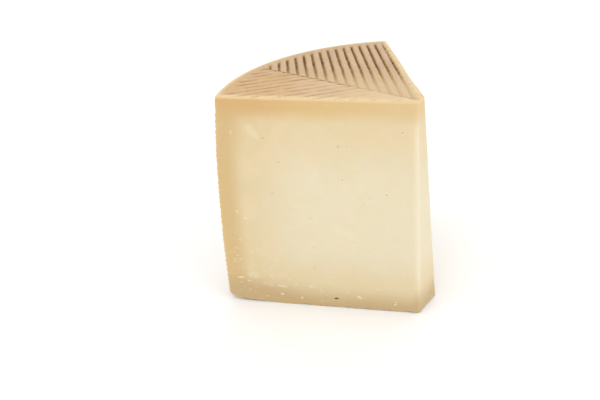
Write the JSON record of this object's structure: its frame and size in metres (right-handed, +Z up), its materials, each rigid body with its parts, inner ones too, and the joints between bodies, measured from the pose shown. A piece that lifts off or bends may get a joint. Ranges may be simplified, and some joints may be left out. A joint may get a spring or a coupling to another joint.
{
  "type": "cheese wedge",
  "caption": "Tall wedge cut from a wheel of pressed hard cheese, with a grooved herringbone rind on top, a curved rind side and smooth knife-cut faces.",
  "frame": {"origin": "under the middle of the wedge's bounding box, at the height of the flat underside that it rests on", "axes": "+Z up, along the axis of the wheel that the wedge was cut from. The long front cut faces -Y, the narrow trimmed tip faces +X and the curved rind faces -X and +Y"},
  "size_m": [0.1088, 0.0978, 0.115],
  "materials": {
    "cheese": "smooth, faintly waxy pale yellow paste on the cut faces, and a golden to brown dry rind"
  },
  "bodies": {
    "root": {"cheese_wedge": "cheese"}
  },
  "joints": []
}
